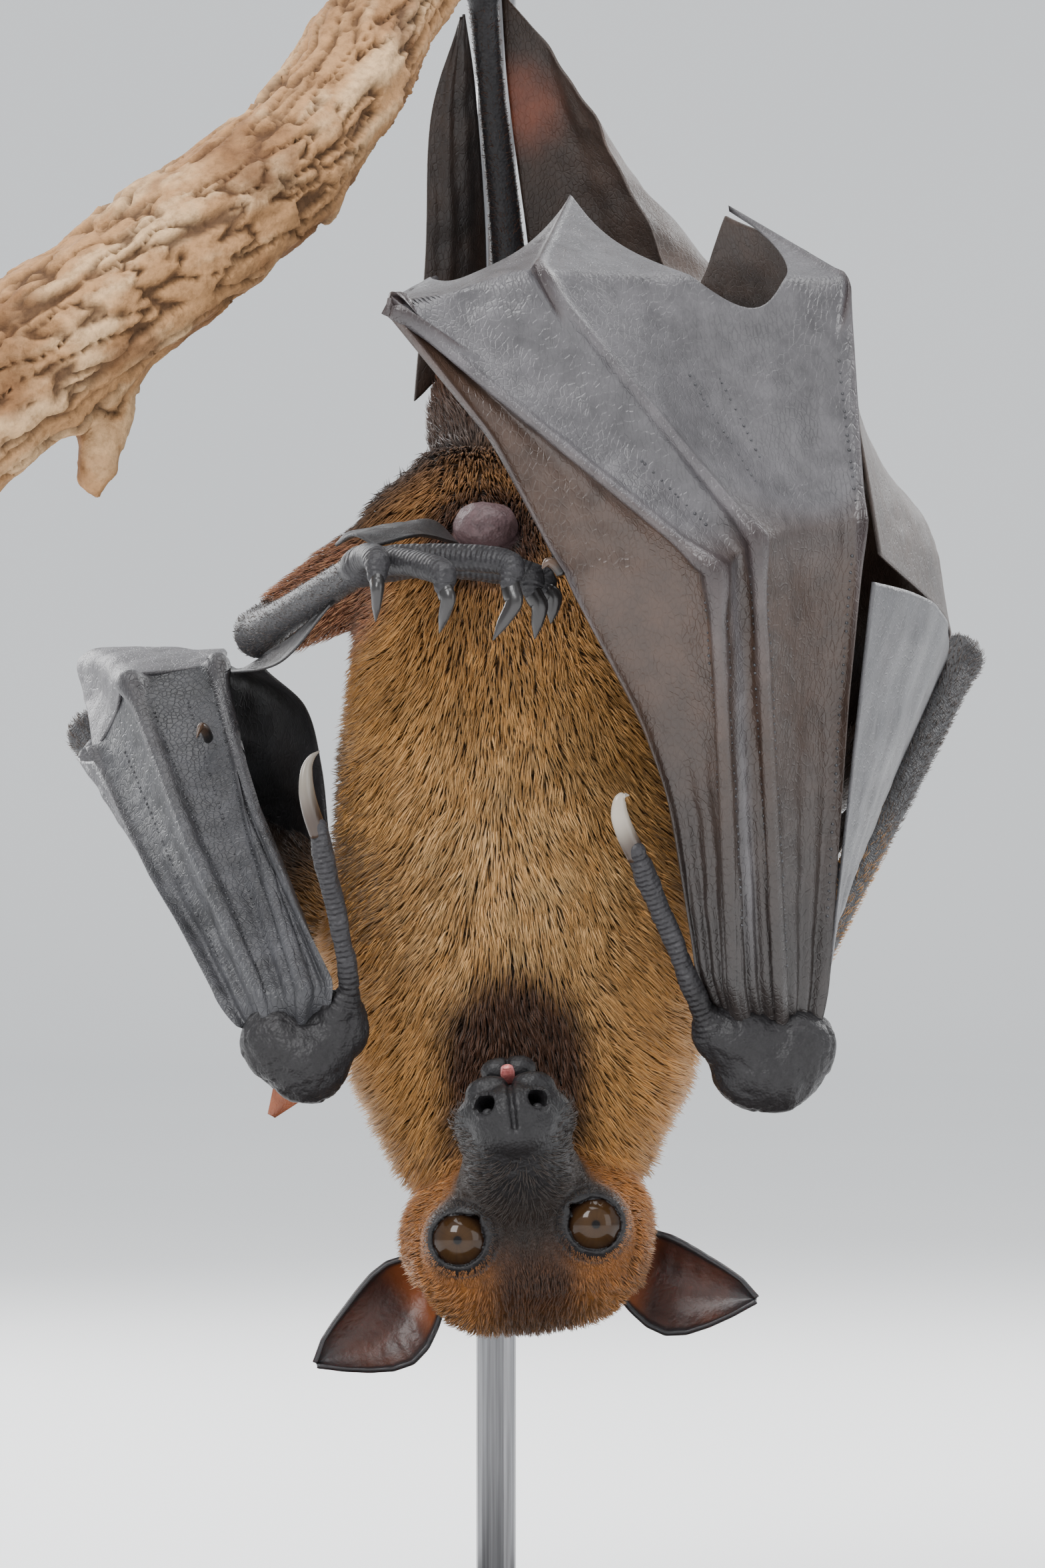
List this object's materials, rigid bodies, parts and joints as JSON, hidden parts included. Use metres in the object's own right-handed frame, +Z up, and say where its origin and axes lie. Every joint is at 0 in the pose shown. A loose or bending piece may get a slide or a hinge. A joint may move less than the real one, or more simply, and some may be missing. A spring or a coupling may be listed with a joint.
{
  "type": "hanging fruit bat model",
  "caption": "Life-size still model of a fruit bat hanging head down by one foot from a cut branch, wings half folded round its body, on a flat display stand.",
  "frame": {"origin": "centre of the stand base's underside, which is also the bottom centre of the whole object's bounding box", "axes": "+Z up through the stand; the bat faces -Y, hangs head down, and its own right side is towards +X"},
  "size_m": [0.3, 0.24, 0.4165],
  "materials": {
    "base_finish": "satin",
    "rod_metal": "satin",
    "bark": "rough",
    "golden_fur": "matte",
    "red_fur": "matte",
    "dark_fur": "matte",
    "black_skin": "satin",
    "wing_skin": "satin",
    "flank_skin": "satin",
    "claw_horn": "gloss",
    "eye_gloss": "gloss",
    "tongue_skin": "satin"
  },
  "bodies": {
    "root": {"arm_membrane_left": "wing_skin", "arm_membrane_right": "wing_skin", "belly": "dark_fur", "chest": "golden_fur", "ear_left": "flank_skin", "ear_right": "flank_skin", "eye_left": "eye_gloss", "eye_right": "eye_gloss", "finger_claw_left": "claw_horn", "finger_claw_right": "claw_horn", "flank_membrane_left": "flank_skin", "flank_membrane_right": "flank_skin", "foot_left": "black_skin", "foot_right": "black_skin", "forearm_left": "wing_skin", "forearm_right": "wing_skin", "front_membrane_left": "flank_skin", "front_membrane_right": "flank_skin", "groin_nub": "flank_skin", "hand_wing_left": "wing_skin", "hand_wing_right": "wing_skin", "head": "dark_fur", "lower_jaw": "black_skin", "neck": "red_fur", "perch_branch": "bark", "rump": "dark_fur", "shin_left": "black_skin", "shin_right": "black_skin", "stand_base": "base_finish", "stand_rod": "rod_metal", "tail_membrane_left": "black_skin", "tail_membrane_right": "flank_skin", "thigh_left": "dark_fur", "thigh_right": "dark_fur", "thumb_claw_left": "claw_horn", "thumb_claw_right": "claw_horn", "thumb_left": "wing_skin", "thumb_right": "wing_skin", "toe_claw_left_1": "claw_horn", "toe_claw_left_2": "claw_horn", "toe_claw_left_3": "claw_horn", "toe_claw_left_4": "claw_horn", "toe_claw_left_5": "claw_horn", "toe_claw_right_1": "claw_horn", "toe_claw_right_2": "claw_horn", "toe_claw_right_3": "claw_horn", "toe_claw_right_4": "claw_horn", "toe_claw_right_5": "claw_horn", "tongue_tip": "tongue_skin", "upper_arm_left": "red_fur", "upper_arm_right": "red_fur", "wing_fold_left": "wing_skin", "wing_tip_left": "wing_skin", "wing_tip_right": "wing_skin", "wrist_fold_left": "flank_skin", "wrist_left": "black_skin", "wrist_right": "black_skin"}
  },
  "joints": []
}
